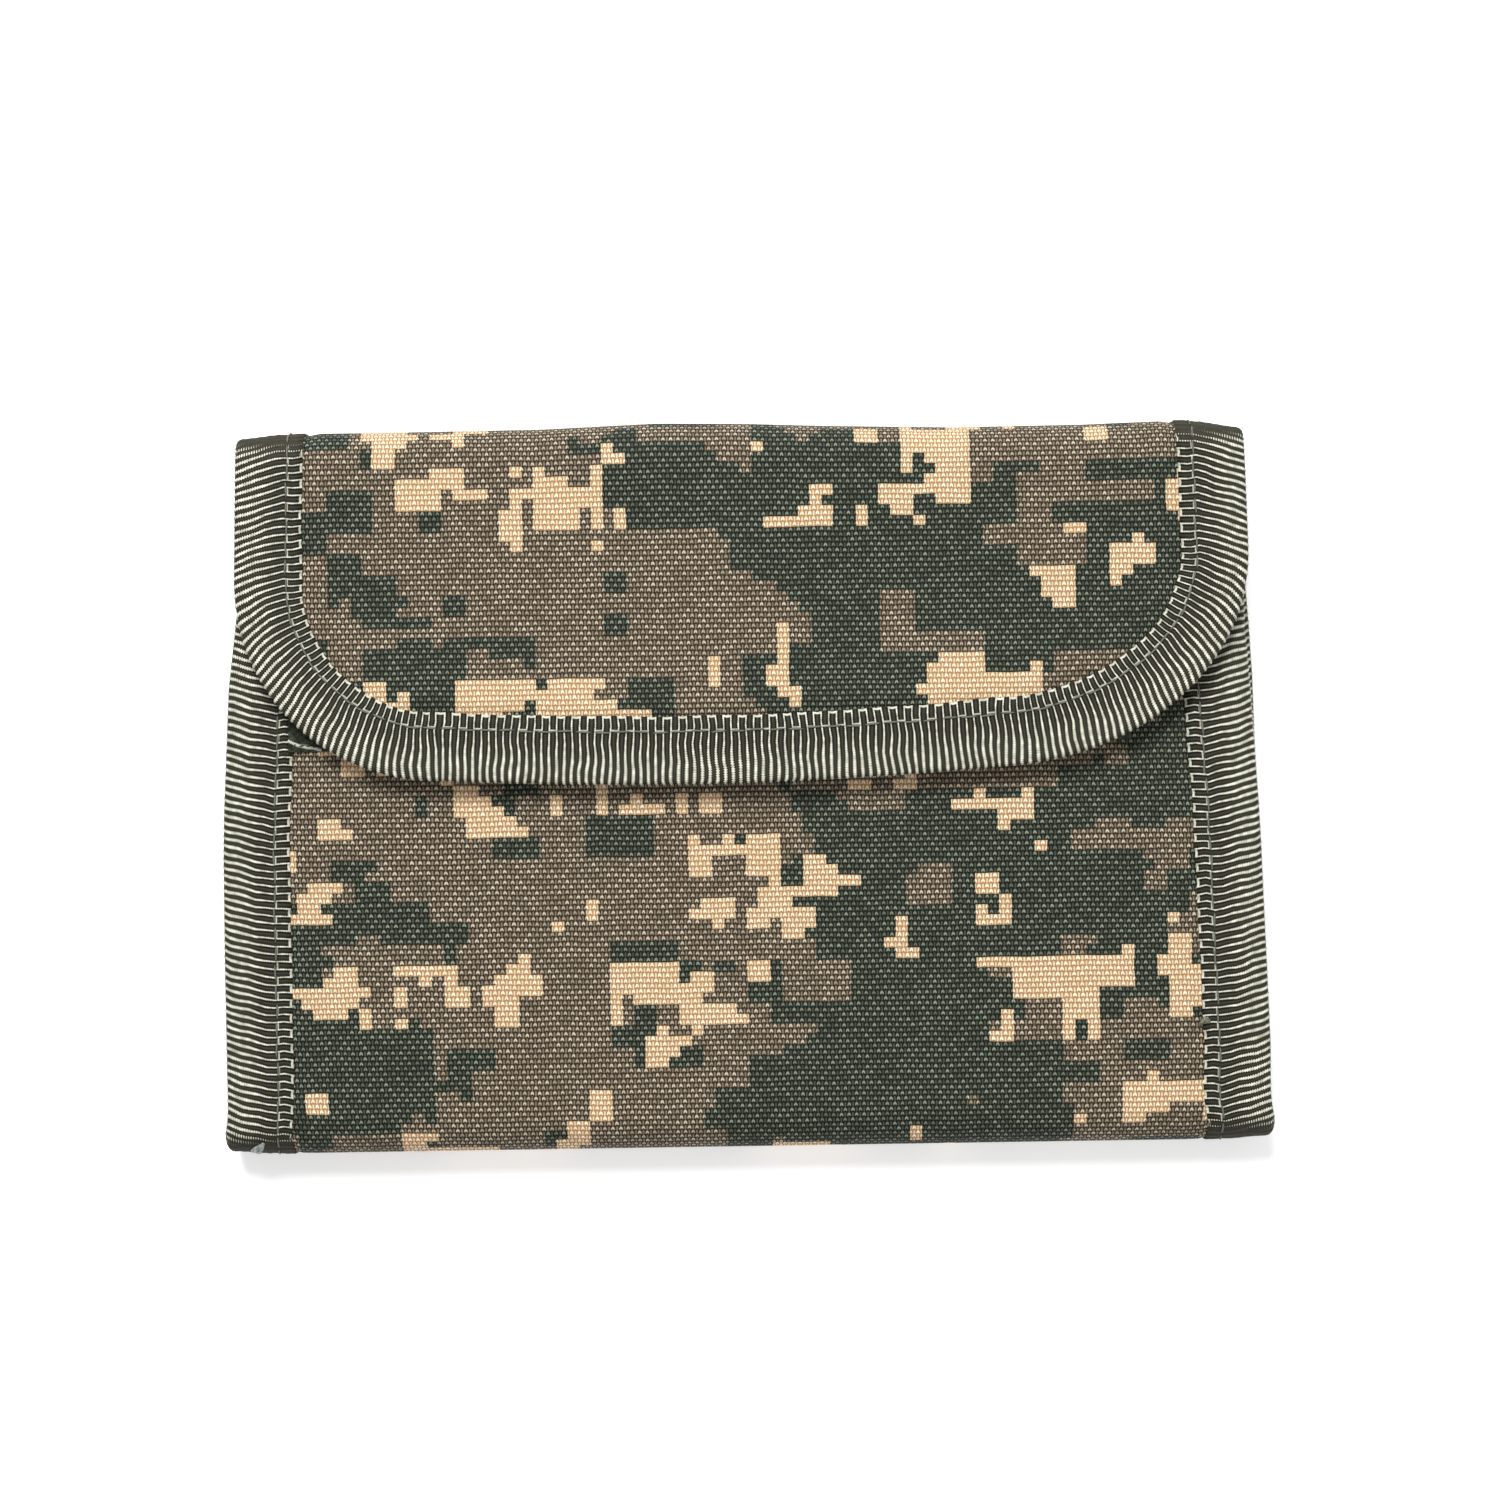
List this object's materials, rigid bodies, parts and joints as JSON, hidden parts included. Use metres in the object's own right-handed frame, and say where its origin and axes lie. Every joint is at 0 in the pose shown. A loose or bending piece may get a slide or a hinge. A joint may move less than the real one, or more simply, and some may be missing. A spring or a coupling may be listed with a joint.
{
  "type": "trifold wallet",
  "caption": "Cloth trifold wallet with ribbed edge binding, rounded hook-and-loop flap, card pockets, clear window and zipped coin pocket.",
  "frame": {"origin": "on the surface the wallet lies on, under the middle of its box", "axes": "+X along the fold lines, +Y towards the top fold, +Z out of the front panel"},
  "size_m": [0.146, 0.1016, 0.0128],
  "materials": {
    "camo_cloth": "plain-weave polyester, pixelated three-colour print",
    "lining_cloth": "fine plain-weave nylon, dark olive",
    "interlining": "pressed non-woven stiffener",
    "binding_tape": "ribbed grosgrain, pale ribs on a dark ground",
    "thread": "twisted polyester thread",
    "window_vinyl": "clear soft vinyl",
    "zipper_tape_cloth": "fine ribbed zipper tape",
    "zipper_coil_nylon": "nylon coil",
    "zipper_metal": "black enamelled zinc, worn at the edges",
    "loop_pile": "napped loop pile",
    "hook_nylon": "moulded nylon hooks"
  },
  "bodies": {
    "back_panel": {"back_shell": "camo_cloth", "back_interlining": "interlining", "back_lining": "lining_cloth", "bill_pocket": "lining_cloth", "card_pocket_rear": "lining_cloth", "card_pocket_middle": "lining_cloth", "card_pocket_front": "lining_cloth", "back_binding_left": "binding_tape", "back_binding_right": "binding_tape", "back_stitching": "thread"},
    "bottom_fold": {"bottom_fold_shell": "camo_cloth", "bottom_fold_lining": "lining_cloth", "bottom_fold_binding_left": "binding_tape", "bottom_fold_binding_right": "binding_tape"},
    "front_panel": {"front_shell": "camo_cloth", "front_interlining": "interlining", "front_lining": "lining_cloth", "coin_pocket_lower": "lining_cloth", "coin_pocket_upper": "lining_cloth", "zipper_tape_lower": "zipper_tape_cloth", "zipper_tape_upper": "zipper_tape_cloth", "zipper_coil_lower": "zipper_coil_nylon", "zipper_coil_upper": "zipper_coil_nylon", "zipper_stops": "zipper_metal", "id_window": "window_vinyl", "id_window_trim": "binding_tape", "front_binding_left": "binding_tape", "front_binding_right": "binding_tape", "front_binding_top": "binding_tape", "loop_strip": "loop_pile", "front_stitching": "thread"},
    "zipper_slider": {"zipper_slider": "zipper_metal"},
    "zipper_pull": {"zipper_pull": "zipper_metal"},
    "top_fold": {"top_fold_shell": "camo_cloth", "top_fold_lining": "lining_cloth", "top_fold_binding_left": "binding_tape", "top_fold_binding_right": "binding_tape"},
    "flap": {"flap_shell": "camo_cloth", "flap_interlining": "interlining", "flap_lining": "lining_cloth", "flap_binding": "binding_tape", "hook_strip": "hook_nylon", "flap_stitching": "thread"}
  },
  "joints": [
    {"name": "bottom_fold_lower", "type": "hinge", "parent": "back_panel", "child": "bottom_fold", "pos_m": [0, -0.0498, 0.001], "axis": [1, 0, 0], "range_deg": [0, 90]},
    {"name": "bottom_fold_upper", "type": "hinge", "parent": "bottom_fold", "child": "front_panel", "pos_m": [0, -0.0498, 0.0086], "axis": [1, 0, 0], "range_deg": [0, 90]},
    {"name": "top_fold_lower", "type": "hinge", "parent": "back_panel", "child": "top_fold", "pos_m": [0, 0.0498, 0.001], "axis": [-1, 0, 0], "range_deg": [0, 90]},
    {"name": "top_fold_upper", "type": "hinge", "parent": "top_fold", "child": "flap", "pos_m": [0, 0.0498, 0.0118], "axis": [-1, 0, 0], "range_deg": [0, 90]},
    {"name": "zipper_slide", "type": "slide", "parent": "front_panel", "child": "zipper_slider", "axis": [1, 0, 0], "range_m": [0, 0.084]},
    {"name": "zipper_pull_hinge", "type": "hinge", "parent": "zipper_slider", "child": "zipper_pull", "pos_m": [-0.044, -0.0425, 0.0037], "axis": [0, 1, 0], "range_deg": [-3, 3]}
  ],
  "couplings": [
    {"joint": "bottom_fold_upper", "follows": "bottom_fold_lower", "ratio": 1},
    {"joint": "top_fold_upper", "follows": "top_fold_lower", "ratio": 1}
  ]
}
